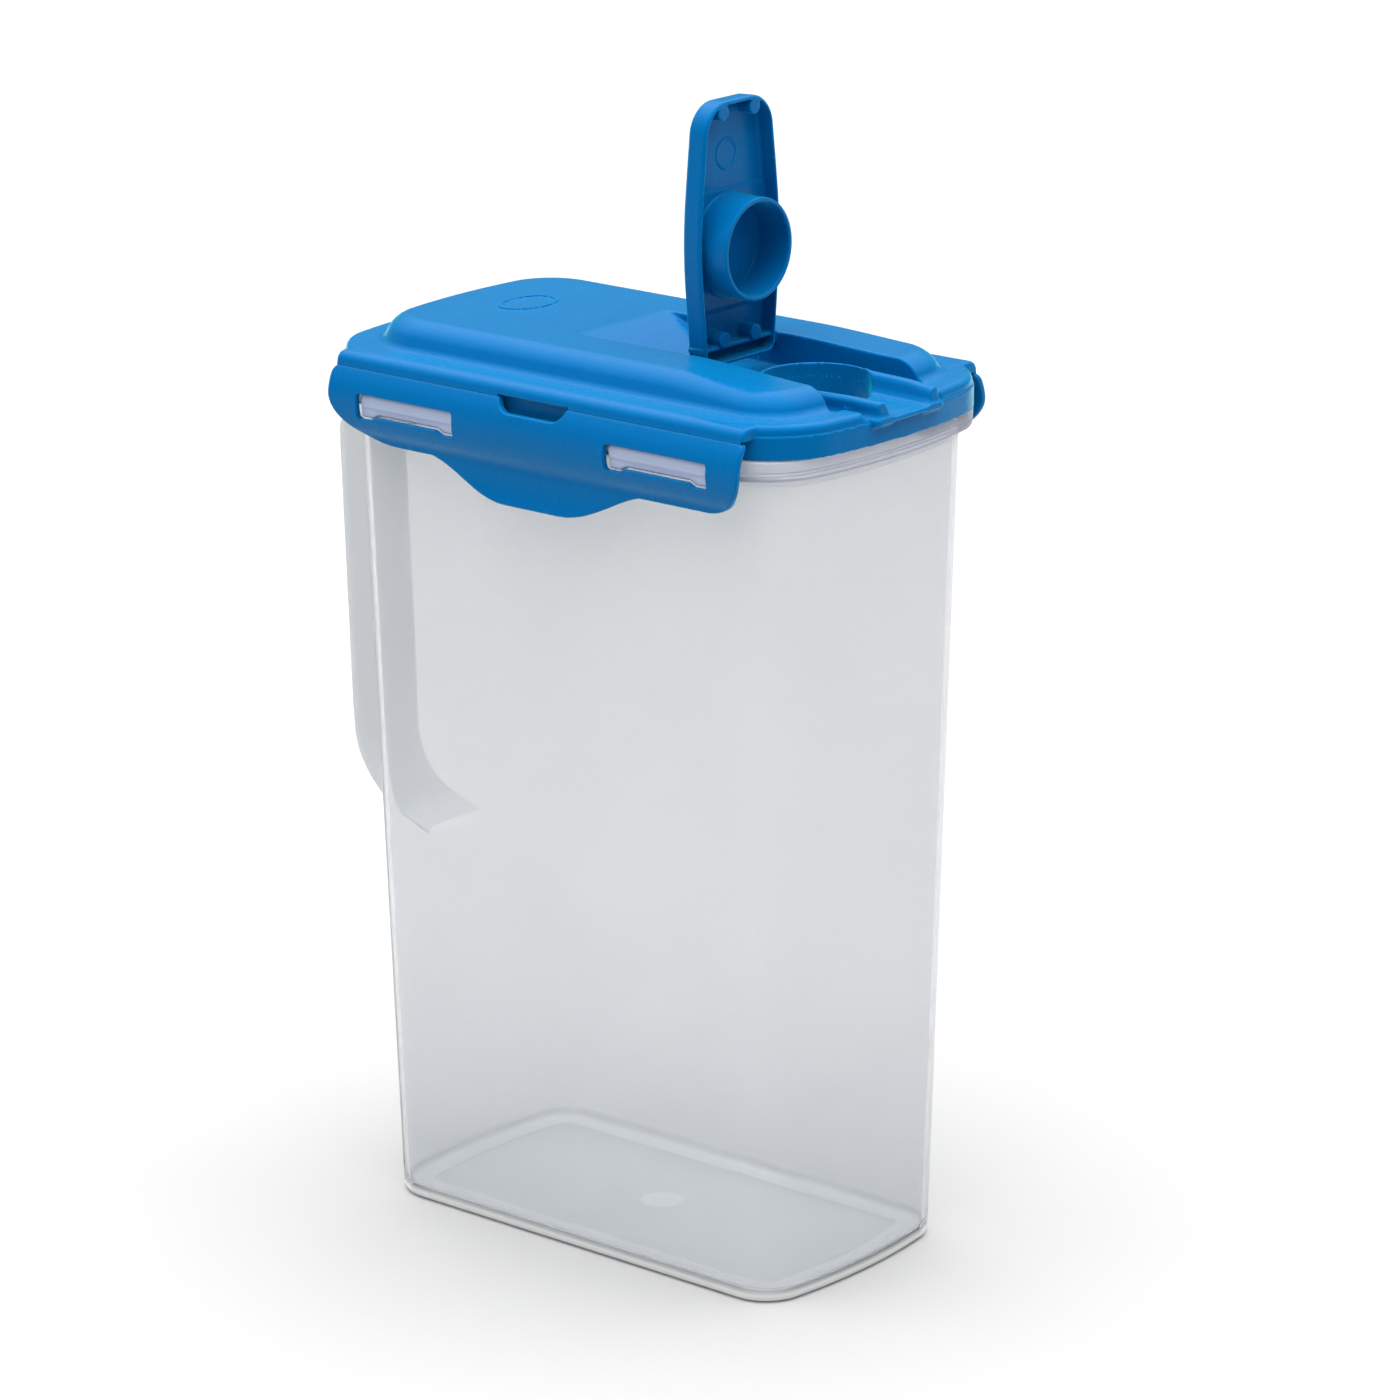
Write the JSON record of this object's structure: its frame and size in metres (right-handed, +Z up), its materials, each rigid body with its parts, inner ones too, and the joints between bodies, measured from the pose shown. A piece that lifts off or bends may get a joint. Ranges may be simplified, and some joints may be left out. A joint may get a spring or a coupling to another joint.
{
  "type": "clip-lock pouring jug",
  "caption": "Tall narrow translucent jug with a strap handle, a clip-on lid held by side latches, and a flip-up pour cap with a round plug.",
  "frame": {"origin": "centre of the jug's base, on the surface it stands on", "axes": "+X towards the pouring lip, -X towards the handle, +Z up through the lid, Y across the two side latches"},
  "size_m": [0.2001, 0.1084, 0.3293],
  "materials": {
    "clear_plastic": "natural milky polypropylene, see-through and faintly hazy",
    "blue_plastic": "blue polypropylene, fine satin with polished edges",
    "silicone": "off-white silicone"
  },
  "bodies": {
    "vessel": {"container": "clear_plastic", "handle": "clear_plastic"},
    "lid_assembly": {"lid": "blue_plastic", "lid_gasket": "silicone"},
    "flip_cap": {"pour_cap": "blue_plastic", "cap_plug": "blue_plastic"},
    "front_latch": {"latch_front": "blue_plastic"},
    "rear_latch": {"latch_rear": "blue_plastic"}
  },
  "joints": [
    {"name": "lid_lift", "type": "slide", "parent": "vessel", "child": "lid_assembly", "axis": [0, 0, 1], "range_m": [0, 0.02]},
    {"name": "cap_flip", "type": "hinge", "parent": "lid_assembly", "child": "flip_cap", "pos_m": [0.0271, 0, 0.2586], "axis": [0, 1, 0], "range_deg": [-80, 90]},
    {"name": "front_latch_swing", "type": "hinge", "parent": "lid_assembly", "child": "front_latch", "pos_m": [0, -0.0511, 0.25], "axis": [-1, 0, 0], "range_deg": [0, 120]},
    {"name": "rear_latch_swing", "type": "hinge", "parent": "lid_assembly", "child": "rear_latch", "pos_m": [0, 0.0511, 0.25], "axis": [1, 0, 0], "range_deg": [0, 120]}
  ],
  "couplings": [
    {"joint": "front_latch_swing", "follows": "lid_lift", "rad_per_m": 104},
    {"joint": "rear_latch_swing", "follows": "lid_lift", "rad_per_m": 104}
  ]
}
